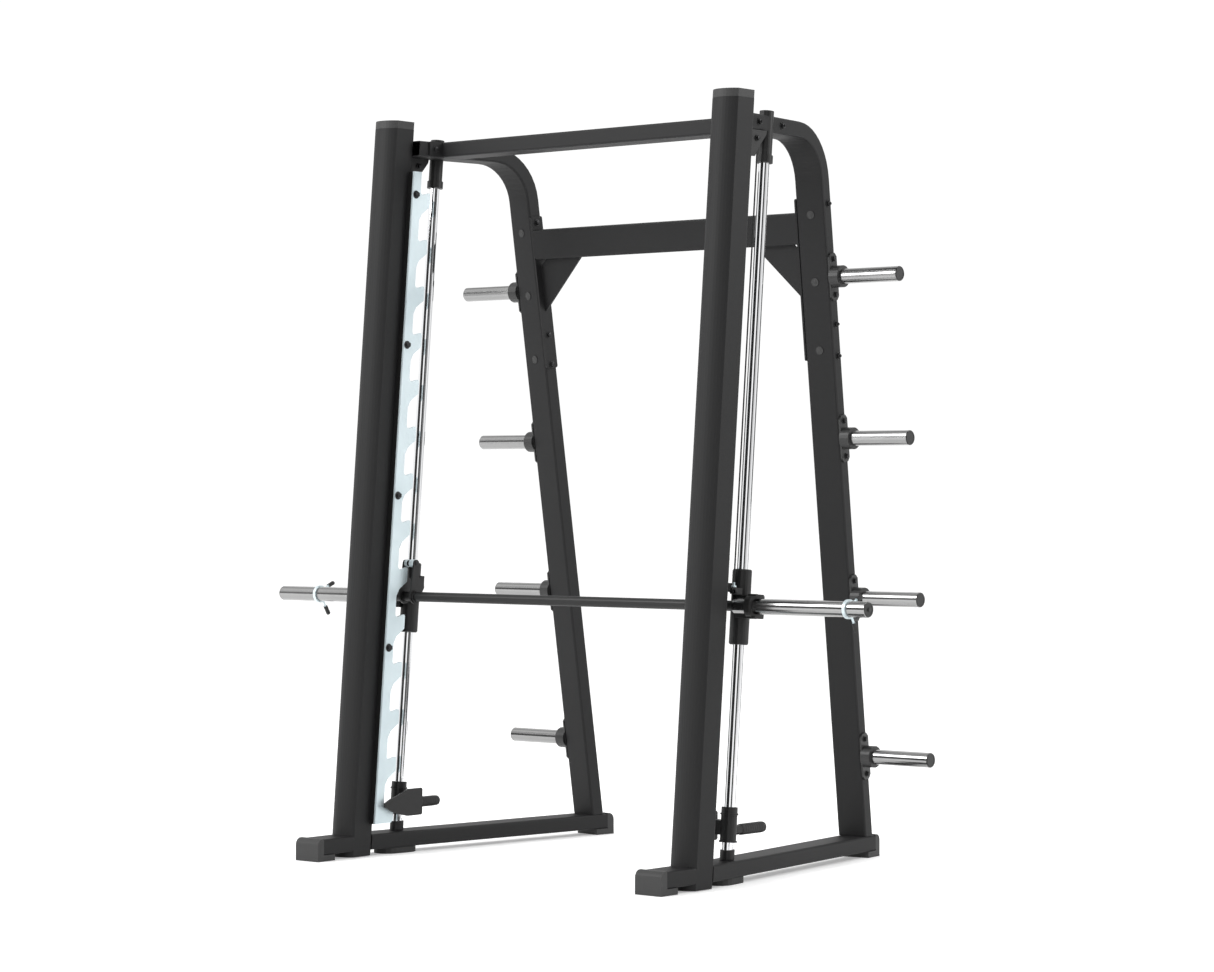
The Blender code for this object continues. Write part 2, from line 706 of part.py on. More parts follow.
# ---- carriage, hooks and bar
def build_carriage():
    place = rod_frame(CARRIAGE_Z)
    half = BEARING_L / 2
    body = cylinder("carriage", BEARING_D / 2, (0, 0, -half), (0, 0, half), "black", matrix=place)
    boss_x = BOSS_X - ROD_X
    arm = box("arm", (0.012, -0.040, -0.034), (boss_x + 0.004, -0.004, 0.034), matrix=place)
    boss_end = (boss_x + BOSS_T, -BAR_AHEAD, 0)
    boss = cylinder("boss", BOSS_D / 2, (boss_x, -BAR_AHEAD, 0), boss_end, matrix=place)
    lips = []
    for z in (-0.0365, 0.0305):
        low = (boss_x + 0.002, -BAR_AHEAD - 0.020, z)
        high = (boss_x + BOSS_T + BOSS_LIP_L, -BAR_AHEAD + 0.020, z + 0.006)
        lips.append(box("lip", low, high, matrix=place))
    lug_x = UPRIGHT_X - ROD_X
    low = (lug_x - 0.004, -CABLE_AHEAD - 0.012, CABLE_LUG_TOP - 0.020)
    lug = box("lug", low, (lug_x + 0.004, -0.015, CABLE_LUG_TOP), matrix=place)
    block = box("block", (-0.047, -0.008, 0.045), (-0.020, 0.012, 0.072), matrix=place)
    union(body, arm, boss, *lips, lug, block)
    bore = cylinder("bore", ROD_D / 2 + GAP, (0, 0, -1), (0, 0, 1), matrix=place)
    seat_start = (SLEEVE_START_X - 0.002 - ROD_X, -BAR_AHEAD, 0)
    seat = cylinder("seat", SLEEVE_D / 2 + GAP, seat_start, (0.4, -BAR_AHEAD, 0), matrix=place)
    both_sides("carriage", subtract(body, bore, seat))


def hook_outline():
    """Hook plate about the bar's centre: Y and Z, arm straight up, lug to the rear."""
    hub, tip = HOOK_HUB_D / 2, HOOK_TIP_R
    points = arc(0, 0, hub, 170, 370, 12)
    points += [(0.040, 0.030), (0.038, 0.052), (0.016, 0.062)]
    return points + arc(0, HOOK_R, tip, 0, 180, 8)


def build_hook():
    turn = Matrix.Rotation(HOOK_REST, 4, "X")
    y_axis, z_axis = turn @ Vector((0, 1, 0)), turn @ Vector((0, 0, 1))
    centre = bar_centre()
    sides = []
    for x in (HOOK_INNER_X, HOOK_OUTER_X):
        origin = (x, centre.y, centre.z)
        sides.append(plate("hook", hook_outline(), HOOK_PLATE_T, origin, y_axis, z_axis, "black"))
    middle = Vector((0, centre.y, centre.z))
    left, right = Vector((HOOK_INNER_X, 0, 0)), Vector((HOOK_OUTER_X, 0, 0))
    boss_end = middle + left - Vector((0.010, 0, 0))
    boss = cylinder("boss", HOOK_HUB_D / 2 - 0.004, boss_end, middle + left, "black")
    pin_at = middle + z_axis * HOOK_R
    pin = cylinder("pin", HOOK_PIN_D / 2, pin_at + left, pin_at + right, segments=24)
    reach = Vector((0.1, 0, 0))
    bore = cylinder("bore", BAR_D / 2 + GAP, middle + left - reach, middle + right + reach)
    hook = subtract(union(*sides, boss, pin), bore)
    set_origin(hook, (HOOK_INNER_X, centre.y, centre.z))
    both_sides("bar_hook", hook)


def build_bar():
    centre = bar_centre()
    half = BAR_OVERALL / 2 - SLEEVE_END_WALL - 0.0005
    bar = cylinder("bar", BAR_D / 2, (-half, centre.y, centre.z), (half, centre.y, centre.z), "black")
    set_origin(bar, (0, centre.y, centre.z))


def build_sleeve():
    centre = bar_centre()
    axis = Vector((0, centre.y, centre.z))
    start, end = SLEEVE_START_X, BAR_OVERALL / 2
    bore, radius = BAR_D / 2 + GAP, SLEEVE_D / 2
    profile = [
        (start, bore), (start, radius), (end - SLEEVE_RIM, radius), (end, radius - SLEEVE_RIM),
        (end, SLEEVE_END_HOLE_R), (end - SLEEVE_END_WALL, SLEEVE_END_HOLE_R), (end - SLEEVE_END_WALL, bore),
    ]
    sleeve = turned("sleeve", profile, axis, "satin")
    set_origin(sleeve, axis + Vector((start, 0, 0)))
    both_sides("sleeve", sleeve)


def build_spring_collar(name, x, side):
    """A sprung ring on the sleeve with two grips behind it."""
    centre = bar_centre()
    at = Vector((side * x, centre.y, centre.z))
    width = Vector((COLLAR_W / 2, 0, 0))
    ring = cylinder(name, COLLAR_D / 2, at - width, at + width, "zinc")
    for start, end in (((0.020, 0.018), (0.062, 0.036)), ((0.014, -0.022), (0.040, -0.066))):
        start, end = at + Vector((0, *start)), at + Vector((0, *end))
        arm = cylinder("arm", 0.0035, start, end - (end - start) * 0.1, segments=12)
        union(ring, arm, cylinder("grip", 0.0055, start.lerp(end, 0.45), end, segments=12))
    bore = cylinder("bore", SLEEVE_D / 2 + GAP, at - width * 9, at + width * 9)
    ring = subtract(ring, bore)
    set_origin(ring, at)


# ---- safety stops
def build_safety_stop():
    low, high = STOP_Z, STOP_Z + STOP_H
    body = rod_cylinder("safety_stop", STOP_CORE_D, low, high)
    ring_top = high - STOP_HEAD_H
    pieces = [
        rod_cylinder("foot", STOP_RING_D, low - 0.0002, low + STOP_RING_H),
        rod_cylinder("ring", STOP_RING_D, ring_top - STOP_RING_H, ring_top),
        rod_cylinder("head", STOP_D, ring_top - 0.001, high + 0.0002),
    ]
    bore = rod_cylinder("bore", ROD_D + 2 * GAP, low - 0.02, high + 0.02)
    both_sides("safety_stop", subtract(union(body, *pieces), bore))


def latch_pin():
    """Centre of the latch pin, level with the lowest notch."""
    z = notch_heights()[-1]
    return Vector((SHIELD_X, rear_face(z) + LATCH_PIN_OFFSET, z))


def shield_outline(middle_z):
    """Side view of the shield plate as Y and Z, a blunt nose to the lifter's side."""
    rod, nose = rod_y(middle_z), latch_pin().y
    top, bottom = middle_z + 0.044, middle_z - 0.044
    points = [(rod + 0.036, top - 0.004), (rod + 0.032, top), (rod - 0.030, top)]
    rises = (0.026, 0.016, 0.004, -0.008, -0.022, -0.034)
    for ahead, rise in zip((0.030, -0.004, -0.030, -0.030, -0.002, 0.030), rises):
        points.append((nose + ahead, middle_z + rise))
    return points + [(rod - 0.034, bottom), (rod + 0.030, bottom), (rod + 0.035, bottom + 0.004)]


def build_stop_latch():
    low = STOP_Z + STOP_RING_H + GAP
    high = STOP_Z + STOP_H - STOP_HEAD_H - STOP_RING_H - GAP
    middle = (low + high) / 2
    body = rod_cylinder("stop_latch", STOP_D, low, high)
    shield = plate("shield", shield_outline(middle), SHIELD_T, (SHIELD_X, 0, 0), (0, 1, 0), UP, "black")
    web_low = (SHIELD_X, rod_y(middle) - 0.014, middle - 0.022)
    web = box("web", web_low, (ROD_X - 0.010, rod_y(middle) + 0.014, middle + 0.022))
    pin = latch_pin()
    pin_end = Vector((PLATE_X - PLATE_T / 2 - 0.0006, pin.y, pin.z))
    tooth = cylinder("tooth", LATCH_PIN_D / 2, pin, pin_end, segments=16)
    grip_z = STOP_Z + STOP_H / 2 - HANDLE_DROP
    grip_y = rod_y(grip_z)
    tip = Vector((HANDLE_X, grip_y + HANDLE_REACH, grip_z))
    grip = cylinder("grip", HANDLE_D / 2, (HANDLE_X, grip_y + 0.010, grip_z), tip - Vector((0, 0.010, 0)))
    end = cylinder("end", HANDLE_D / 2, tip - Vector((0, 0.0101, 0)), tip, tip=HANDLE_D / 2 - 0.008)
    union(body, web, shield, tooth, grip, end)
    core = rod_cylinder("core", STOP_CORE_D + 2 * GAP, low - 0.02, high + 0.02)
    latch = subtract(body, core)
    set_origin(latch, (ROD_X, rod_y(middle), middle))
    both_sides("stop_latch", latch)


# ---- crossbars
def flange_plate(outline, point, along, across, side):
    """A flange against the inner face of a side frame, given by its right-hand place."""
    sign = Vector((side, 1, 1))
    point, along, across = point * sign, along * sign, across * sign
    return plate("flange", outline, FLANGE_T, point, along, across)


def crossbar(name, outline, centre, v, w, flange, s, along, across):
    """A tube between two flanges. v and w are the section's axes."""
    inner_n = -TUBE_W / 2 - GAP - FLANGE_T / 2
    loops = []
    for side in (-1, 1):
        sign = Vector((side, 1, 1))
        point = side_point(s, inner_n, centre.z) * sign
        loops.append(slid(loop_of(outline, centre, v, w), (1, 0, 0), point, OUTWARD * sign))
    body = skin(name, loops)
    for side in (-1, 1):
        union(body, flange_plate(flange, side_point(s, inner_n, centre.z), along, across, side))
    return body


def hollow_out(body, centre, v, w, width, height):
    """Open a tube's inside, with a drain hole through each flange."""
    reach = UPRIGHT_X - TUBE_W / 2 - 0.06 - BASE_DEPTH * sin(SPLAY) * 0.75
    inner = rounded_rectangle(width - 2 * TUBE_WALL, height - 2 * TUBE_WALL, 0.003)
    ends = [loop_of(inner, centre + Vector((x, 0, 0)), v, w) for x in (-reach, reach)]
    drain = cylinder("drain", 0.009, centre - Vector((1, 0, 0)), centre + Vector((1, 0, 0)), segments=16)
    return subtract(body, skin("inside", ends), drain)


def build_top_crossbar():
    y = side_point(TOP_BAR_S, 0, 0).y
    centre = Vector((0, y, TOP_BEAM_Z))
    forward, up = Vector((0, 1, 0)), Vector(UP)
    flange = rounded_rectangle(TOP_FLANGE_L, TUBE_H, 0.004, 1)
    body = crossbar("top_crossbar", beam_section(), centre, forward, up, flange, TOP_BAR_S, REARWARD, up)
    hollow_out(body, centre, forward, up, TUBE_W, TUBE_H)


def leg_s(z):
    """Rear leg's centre line at height z, as a distance s along the side frame."""
    return LEG_FOOT_S - z * tan(LEG_LEAN)


def build_rear_crossbar():
    """Crossbar, its long flanges and two corner gussets, tilted to lie in the legs' plane."""
    z = HEIGHT - REAR_BAR_DROP
    flange_z = HEIGHT - REAR_FLANGE_DROP
    up = UP * cos(LEG_LEAN) - REARWARD * sin(LEG_LEAN)
    back = REARWARD * cos(LEG_LEAN) + UP * sin(LEG_LEAN)
    v = Vector((0, cos(LEG_LEAN), sin(LEG_LEAN)))
    w = Vector((0, -sin(LEG_LEAN), cos(LEG_LEAN)))
    inner_n = -TUBE_W / 2 - GAP - FLANGE_T / 2
    centre = Vector((0, side_point(leg_s(z), inner_n, z).y, z))
    shift = (z - flange_z) / cos(LEG_LEAN)
    flange = [(a, b - shift) for a, b in rounded_rectangle(TUBE_H, REAR_FLANGE_L, 0.006, 2)]
    body = crossbar(
        "rear_crossbar", rounded_rectangle(TUBE_H, TUBE_W), centre, v, w, flange, leg_s(z), back, up,
    )
    corner = abs(side_point(leg_s(z - 0.1), inner_n, z).x)
    bottom = -TUBE_W / 2 + 0.002
    outline = [
        (0, bottom - GUSSET_RELIEF), (-GUSSET_RELIEF, bottom - 0.002), (-GUSSET_RELIEF, bottom),
        (-GUSSET, bottom), (0, bottom - GUSSET),
    ]
    for side in (-1, 1):
        sign = Vector((side, 1, 1))
        origin = Vector((corner * side, centre.y, centre.z))
        union(body, plate("gusset", outline, GUSSET_T, origin, Vector((1, 0, 0)) * sign, w))
    hollow_out(body, centre, v, w, TUBE_H, TUBE_W)


# ---- storage pegs
def peg_heights():
    top = BEND_Z + BEND_R * sin(LEG_LEAN) - PEG_BELOW_BEND
    return [top - (top - PEG_BOTTOM_Z) * i / (PEGS - 1) for i in range(PEGS)]


def build_peg(number, z):
    """A bolted plate on the leg's outer face, a collar and a plain tube for weight plates."""
    up = UP * cos(LEG_LEAN) - REARWARD * sin(LEG_LEAN)
    back = REARWARD * cos(LEG_LEAN) + UP * sin(LEG_LEAN)
    n = TUBE_W / 2 + GAP + PEG_PLATE_T / 2
    origin = side_point(leg_s(z), n, z)
    half_w, half_h, cut = TUBE_H / 2, PEG_PLATE_H / 2, 0.012
    outline = [
        (half_w, half_h - cut), (half_w - cut, half_h), (cut - half_w, half_h), (-half_w, half_h - cut),
        (-half_w, cut - half_h), (cut - half_w, -half_h), (half_w - cut, -half_h), (half_w, cut - half_h),
    ]
    body = plate("peg", outline, PEG_PLATE_T, origin, back, up, "satin")
    y_axis = Vector((0, 1, 0))
    for diameter, length in ((PEG_COLLAR_D, PEG_COLLAR_L), (PEG_D, PEG_L)):
        far = loop_of(circle(diameter / 2), origin + Vector((length, 0, 0)), y_axis, UP)
        near = slid(far, (1, 0, 0), origin, OUTWARD)
        union(body, skin("stage", [near, far]))
    both_sides(f"storage_peg_{number}", body)


clear_scene()
part_collection = bpy.data.collections.new("smith_machine")
bpy.context.scene.collection.children.link(part_collection)

build_upright()
build_upright_cap()
build_front_stub()
build_base_beam()
build_feet()
build_rear_leg()
build_rod()
build_notch_plate()
build_pulley("pulley_rear", pulley_centres()[0])
build_pulley("pulley_front", pulley_centres()[1])
build_pulley_bracket()
build_cable()
build_counterweight()
build_carriage()
build_hook()
build_bar()
build_sleeve()
build_spring_collar("spring_collar_right", COLLAR_X_RIGHT, 1)
build_spring_collar("spring_collar_left", COLLAR_X_LEFT, -1)
build_safety_stop()
build_stop_latch()
build_top_crossbar()
build_rear_crossbar()
for peg_number, peg_z in enumerate(peg_heights(), 1):
    build_peg(peg_number, peg_z)
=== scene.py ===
# %% [markdown]
# # A counterbalanced smith machine
# The machine has two leaning side frames, a bar that runs on chromed guide rods, and
# hooks that turn into notched plates. Its solids and joints are already made. These
# cells add what a buyer sees up close: finishes, bolts, caps, rollers and grips. They
# also add the light and the camera.

# %% Load the frame
import json
from math import atan2, cos, pi, radians, sin, tan

import bmesh
import bpy
from mathutils import Matrix, Vector


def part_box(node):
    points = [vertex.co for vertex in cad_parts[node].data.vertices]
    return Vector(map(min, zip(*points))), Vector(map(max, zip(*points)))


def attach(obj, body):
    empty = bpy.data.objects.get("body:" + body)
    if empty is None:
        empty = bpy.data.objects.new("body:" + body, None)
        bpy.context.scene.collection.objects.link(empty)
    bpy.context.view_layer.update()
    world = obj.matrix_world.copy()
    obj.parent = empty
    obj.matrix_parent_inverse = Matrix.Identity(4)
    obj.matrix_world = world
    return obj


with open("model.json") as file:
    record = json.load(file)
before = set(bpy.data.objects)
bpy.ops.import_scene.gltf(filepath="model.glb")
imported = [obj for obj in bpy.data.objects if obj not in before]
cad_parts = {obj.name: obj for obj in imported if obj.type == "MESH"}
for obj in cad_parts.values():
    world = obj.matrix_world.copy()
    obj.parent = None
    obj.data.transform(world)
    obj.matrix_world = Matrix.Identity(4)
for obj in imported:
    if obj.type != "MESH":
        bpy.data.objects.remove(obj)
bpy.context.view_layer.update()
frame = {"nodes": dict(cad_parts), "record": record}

# %% [markdown]
# ## Where things are
# Every added piece needs a place on the solids. Places could be typed in, but then they
# drift when a solid changes. Here they are measured: the slope of the rods comes from
# the bar's joint, the splay of the side frames from their feet, and the line of each
# rear leg from the pegs that are bolted to it.

# %% Measure the machine's directions
joints = {joint["name"]: joint for joint in frame["record"]["behaviour"]["joints"]}
feet = {mount["name"]: Vector(mount["pos_m"]) for mount in frame["record"]["mounts"]}
along_rod = Vector(joints["bar_slide"]["axis"])
lean = atan2(along_rod.y, along_rod.z)
run = feet["rear_foot_right"] - feet["mid_foot_right"]
splay = atan2(-run.x, run.y)
rearward = Vector((-sin(splay), cos(splay), 0))
outward = Vector((cos(splay), sin(splay), 0))
up = Vector((0, 0, 1))
SEAT_GAP = 0.0003          # a fitted piece stands this far off its solid
TUBE_HALF_WIDTH = 0.050    # of the flat tubes in the side frames
TUBE_HALF_DEPTH = 0.025
FLANGE_T = 0.006           # crossbar flanges and peg plates
PEG_LENGTH = 0.255         # from the middle of a peg's plate to its end
PEG_COLLAR_LENGTH = 0.040
PEG_OFFSET = 0.0533        # side frame's middle to the middle of a peg's plate
print("lean", round(lean, 4), "splay", round(splay, 4))

# %% Measure the upright and the bar
upright_low, upright_high = (Vector(corner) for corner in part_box("upright_right"))
upright_x = (upright_low.x + upright_high.x) / 2
bar_at = Vector(joints["bar_turn"]["pos_m"])


def rear_face(z):
    """Y of the upright's flat rear face at height z."""
    return upright_high.y - (upright_high.z - z) * tan(lean)


def side_point(s, n, z):
    """A point in the right side frame, s behind the upright and n outward."""
    return Vector((upright_x, rear_face(0), z)) + rearward * s + outward * n


print("upright x", round(upright_x, 4), "bar at", tuple(round(v, 4) for v in bar_at))


# %% Measure the rear leg's line from its pegs
def middle(node):
    low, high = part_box(node)
    return (Vector(low) + Vector(high)) / 2


peg_places = {}
for number in range(1, 5):
    spot = middle(f"storage_peg_{number}_right")
    s = (spot.y - rear_face(0) - PEG_OFFSET * sin(splay)) / cos(splay)
    peg_places[number] = (s, spot.z)
leg_slope = (peg_places[4][0] - peg_places[1][0]) / (peg_places[1][1] - peg_places[4][1])


def leg_s(z):
    """How far behind the upright the leg's centre line is at height z."""
    return peg_places[4][0] - (z - peg_places[4][1]) * leg_slope


leg_up = (up - rearward * leg_slope).normalized()
leg_front = leg_up.cross(outward).normalized()
leg_front = leg_front if leg_front.dot(rearward) < 0 else -leg_front
print("leg slope", round(leg_slope, 4))

# %% [markdown]
# ## Shared surface effects
# Paint, plastic and metal are never one flat colour. Three small node groups give every
# finish its detail: a fine grain in the surface, a slow drift of tone, and rubbing along
# edges. A group keeps each effect in one place, and each finish turns it up or down.


# %% Start a node group with named sockets
def new_group(name, inputs, output, output_type):
    group = bpy.data.node_groups.new(name, "ShaderNodeTree")
    for socket, default in inputs.items():
        made = group.interface.new_socket(socket, in_out="INPUT", socket_type="NodeSocketFloat")
        made.default_value = default
    group.interface.new_socket(output, in_out="OUTPUT", socket_type=output_type)
    ends = group.nodes.new("NodeGroupInput"), group.nodes.new("NodeGroupOutput")
    return group, ends[0].outputs, ends[1].inputs


# %% Fine grain as a bumped normal
grain, given, result = new_group(
    "fine_grain", {"Scale": 900.0, "Strength": 0.2, "Depth": 0.0002}, "Normal", "NodeSocketVector"
)
place = grain.nodes.new("ShaderNodeTexCoord")
noise = grain.nodes.new("ShaderNodeTexNoise")
noise.inputs["Detail"].default_value = 4
bump = grain.nodes.new("ShaderNodeBump")
grain.links.new(place.outputs["Object"], noise.inputs["Vector"])
grain.links.new(given["Scale"], noise.inputs["Scale"])
grain.links.new(noise.outputs["Fac"], bump.inputs["Height"])
grain.links.new(given["Strength"], bump.inputs["Strength"])
grain.links.new(given["Depth"], bump.inputs["Distance"])
grain.links.new(bump.outputs["Normal"], result["Normal"])

# %% Slow drift of tone as a value from 0 to 1
drift, given, result = new_group("tone_drift", {"Scale": 5.0}, "Value", "NodeSocketFloat")
place = drift.nodes.new("ShaderNodeTexCoord")
noise = drift.nodes.new("ShaderNodeTexNoise")
noise.inputs["Detail"].default_value = 5
drift.links.new(place.outputs["Object"], noise.inputs["Vector"])
drift.links.new(given["Scale"], noise.inputs["Scale"])
drift.links.new(noise.outputs["Fac"], result["Value"])

# %% Rubbed edges as a mask
rub, given, result = new_group("edge_rub", {"Amount": 1.0}, "Value", "NodeSocketFloat")
bevel = rub.nodes.new("ShaderNodeBevel")
bevel.samples = 4
bevel.inputs["Radius"].default_value = 0.0012
shape = rub.nodes.new("ShaderNodeNewGeometry")
facing = rub.nodes.new("ShaderNodeVectorMath")
facing.operation = "DOT_PRODUCT"
spread = rub.nodes.new("ShaderNodeMapRange")
spread.inputs["From Min"].default_value = 0.995
spread.inputs["From Max"].default_value = 0.75
scaled = rub.nodes.new("ShaderNodeMath")
scaled.operation = "MULTIPLY"
rub.links.new(bevel.outputs["Normal"], facing.inputs[0])
rub.links.new(shape.outputs["Normal"], facing.inputs[1])
rub.links.new(facing.outputs["Value"], spread.inputs["Value"])
rub.links.new(spread.outputs["Result"], scaled.inputs[0])
rub.links.new(given["Amount"], scaled.inputs[1])
rub.links.new(scaled.outputs["Value"], result["Value"])
print("groups:", [group.name for group in bpy.data.node_groups])


# %% [markdown]
# ## Finishes
# Each finish starts from the Principled shader. Two near colours are mixed by the tone
# drift, the rubbed edges go lighter, the gloss changes a little from place to place, and
# the grain gives the light something to catch. Powder coat is bumpy and satin, moulded
# plastic is duller, and chrome is almost smooth.


# %% One maker for all plain finishes
def add_effect(tree, group, **values):
    node = tree.nodes.new("ShaderNodeGroup")
    node.node_tree = group
    for socket, value in values.items():
        node.inputs[socket].default_value = value
    return node.outputs[0]


def new_finish(name, dark, light, edge, gloss, metallic=0.0, drift_scale=5.0, rubbing=0.5, grain_scale=900.0,
               grain_strength=0.2, depth=0.0002, shine=0.5):
    look = bpy.data.materials.new(name)
    look.use_nodes = True
    tree = look.node_tree
    shader = tree.nodes["Principled BSDF"]
    tone = add_effect(tree, drift, Scale=drift_scale)
    worn = add_effect(tree, rub, Amount=rubbing)
    colours = tree.nodes.new("ShaderNodeMix")
    colours.data_type = "RGBA"
    colours.inputs["A"].default_value = (*dark, 1)
    colours.inputs["B"].default_value = (*light, 1)
    edges = tree.nodes.new("ShaderNodeMix")
    edges.data_type = "RGBA"
    edges.inputs["B"].default_value = (*edge, 1)
    polish = tree.nodes.new("ShaderNodeMapRange")
    polish.inputs["To Min"].default_value = gloss[0]
    polish.inputs["To Max"].default_value = gloss[1]
    tree.links.new(tone, colours.inputs["Factor"])
    tree.links.new(colours.outputs["Result"], edges.inputs["A"])
    tree.links.new(worn, edges.inputs["Factor"])
    tree.links.new(edges.outputs["Result"], shader.inputs["Base Color"])
    tree.links.new(tone, polish.inputs["Value"])
    tree.links.new(polish.outputs["Result"], shader.inputs["Roughness"])
    normal = add_effect(tree, grain, Scale=grain_scale, Strength=grain_strength, Depth=depth)
    tree.links.new(normal, shader.inputs["Normal"])
    shader.inputs["Metallic"].default_value = metallic
    shader.inputs["Specular IOR Level"].default_value = shine
    return look


# %% Paints, plastics and rubber
charcoal_coat = new_finish(
    "charcoal_powder_coat",
    (0.007, 0.007, 0.0073), (0.010, 0.010, 0.0104), (0.032, 0.032, 0.033), (0.52, 0.64),
    drift_scale=3.0, rubbing=0.5, grain_scale=700.0, grain_strength=0.30, depth=0.0003, shine=0.28,
)
black_paint = new_finish(
    "satin_black_paint", (0.006, 0.006, 0.006), (0.009, 0.009, 0.009), (0.030, 0.030, 0.030), (0.38, 0.50),
    drift_scale=9.0, rubbing=0.6, grain_scale=900.0, grain_strength=0.22, shine=0.35,
)
cap_plastic = new_finish(
    "moulded_cap_plastic", (0.034, 0.034, 0.034), (0.041, 0.041, 0.041), (0.065, 0.065, 0.065), (0.50, 0.62),
    drift_scale=14.0, rubbing=0.4, grain_scale=1500.0, grain_strength=0.35, shine=0.3,
)
end_plastic = new_finish(
    "black_end_plastic", (0.012, 0.012, 0.012), (0.017, 0.017, 0.017), (0.04, 0.04, 0.04), (0.40, 0.52),
    drift_scale=25.0, grain_scale=1800.0, grain_strength=0.3,
)
soft_rubber = new_finish(
    "soft_black_rubber", (0.012, 0.012, 0.012), (0.018, 0.018, 0.018), (0.03, 0.03, 0.03), (0.62, 0.78),
    drift_scale=20.0, rubbing=0.3, grain_scale=1200.0, grain_strength=0.5, depth=0.0004,
)

# %% Metals
rod_chrome = new_finish(
    "hard_chrome", (0.74, 0.75, 0.76), (0.80, 0.80, 0.81), (0.85, 0.85, 0.85), (0.03, 0.07),
    metallic=1.0, drift_scale=12.0, rubbing=0.2, grain_scale=2500.0, grain_strength=0.03, depth=0.00005,
)
# Zinc: the dark tone is pushed well past the metal's own slight tone changes, so its darker patches are a
# painted reflection of a dark band around the machine.
zinc_with_painted_reflection = new_finish(
    "pale_zinc_with_painted_reflection", (0.44, 0.53, 0.56), (0.78, 0.87, 0.90), (0.88, 0.92, 0.93), (0.34, 0.48),
    metallic=0.45, drift_scale=4.0, rubbing=0.5, grain_scale=600.0, grain_strength=0.12,
)
bolt_black = new_finish(
    "black_oxide_steel", (0.016, 0.016, 0.017), (0.030, 0.030, 0.031), (0.10, 0.10, 0.10), (0.30, 0.45),
    metallic=0.7, drift_scale=60.0, rubbing=0.8, grain_scale=1600.0, grain_strength=0.15,
)
cast_iron = new_finish(
    "rough_cast_iron", (0.045, 0.045, 0.045), (0.075, 0.073, 0.070), (0.13, 0.13, 0.13), (0.55, 0.75),
    metallic=0.5, drift_scale=30.0, rubbing=0.6, grain_scale=350.0, grain_strength=0.6, depth=0.0006,
)
print("finishes so far:", len(bpy.data.materials))

# %% [markdown]
# ## Turned satin chrome
# The loading sleeves and pegs are ground on a lathe, so their fine lines run round the
# bar. Lines that run round X change only along X. A noise that is squeezed hard in X and
# stretched in Y and Z draws them, and the same lines break up the gloss.

# %% Fine turned lines
turned_chrome = new_finish(
    "turned_satin_chrome", (0.27, 0.27, 0.27), (0.35, 0.35, 0.348), (0.60, 0.60, 0.60), (0.14, 0.24),
    metallic=1.0, drift_scale=8.0, rubbing=0.3, grain_scale=1.0, grain_strength=0.10, depth=0.00006,
)
tree = turned_chrome.node_tree
lathe_place = tree.nodes.new("ShaderNodeTexCoord")
squeeze = tree.nodes.new("ShaderNodeMapping")
squeeze.inputs["Scale"].default_value = (2600, 12, 12)
lathe_noise = tree.nodes.new("ShaderNodeTexNoise")
lathe_noise.inputs["Scale"].default_value = 1.0
lathe_bump = tree.nodes.new("ShaderNodeBump")
lathe_bump.inputs["Strength"].default_value = 0.12
lathe_bump.inputs["Distance"].default_value = 0.0001
tree.links.new(lathe_place.outputs["Object"], squeeze.inputs["Vector"])
tree.links.new(squeeze.outputs["Vector"], lathe_noise.inputs["Vector"])
tree.links.new(lathe_noise.outputs["Fac"], lathe_bump.inputs["Height"])
tree.links.new(lathe_bump.outputs["Normal"], tree.nodes["Principled BSDF"].inputs["Normal"])

# %% [markdown]
# ## Pegs in two finishes
# Each storage peg is a painted plate and collar with a chromed tube welded on. It is one
# solid, so one material has to show both. A mask from the distance along the peg decides
# which: it is painted up to the collar's face and chromed beyond it. Every peg starts at
# its own distance, so each gets a copy of the material with its own edge.


# %% A chromed tube on a painted foot
def peg_finish(number):
    tube_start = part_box(f"storage_peg_{number}_right")[1][0] - PEG_LENGTH + PEG_COLLAR_LENGTH + 0.0005
    look = turned_chrome.copy()
    look.name = f"peg_{number}_chrome_and_paint"
    tree = look.node_tree
    shader = tree.nodes["Principled BSDF"]
    spot = tree.nodes.new("ShaderNodeTexCoord")
    axes = tree.nodes.new("ShaderNodeSeparateXYZ")
    across = tree.nodes.new("ShaderNodeMath")
    across.operation = "ABSOLUTE"
    painted = tree.nodes.new("ShaderNodeMapRange")
    painted.inputs["From Min"].default_value = tube_start + 0.0002
    painted.inputs["From Max"].default_value = tube_start
    tree.links.new(spot.outputs["Object"], axes.inputs["Vector"])
    tree.links.new(axes.outputs["X"], across.inputs[0])
    tree.links.new(across.outputs["Value"], painted.inputs["Value"])
    mask = painted.outputs["Result"]
    chrome_colour = shader.inputs["Base Color"].links[0].from_socket
    chrome_gloss = shader.inputs["Roughness"].links[0].from_socket
    colour = tree.nodes.new("ShaderNodeMix")
    colour.data_type = "RGBA"
    colour.inputs["B"].default_value = (0.016, 0.016, 0.016, 1)
    gloss = tree.nodes.new("ShaderNodeMix")
    gloss.inputs["B"].default_value = 0.42
    metal = tree.nodes.new("ShaderNodeMapRange")
    metal.inputs["To Min"].default_value = 1.0
    metal.inputs["To Max"].default_value = 0.0
    for mix, source in ((colour, chrome_colour), (gloss, chrome_gloss)):
        tree.links.new(mask, mix.inputs["Factor"])
        tree.links.new(source, mix.inputs["A"])
    tree.links.new(mask, metal.inputs["Value"])
    tree.links.new(colour.outputs["Result"], shader.inputs["Base Color"])
    tree.links.new(gloss.outputs["Result"], shader.inputs["Roughness"])
    tree.links.new(metal.outputs["Result"], shader.inputs["Metallic"])
    return look


peg_finishes = {number: peg_finish(number) for number in range(1, 5)}
print("peg finishes:", len(peg_finishes))

# %% [markdown]
# ## Dress the solids
# Each solid already has a slot for its finish. One table from a slot's name to a finish
# dresses them all. The pegs then get the material that shows both their finishes.

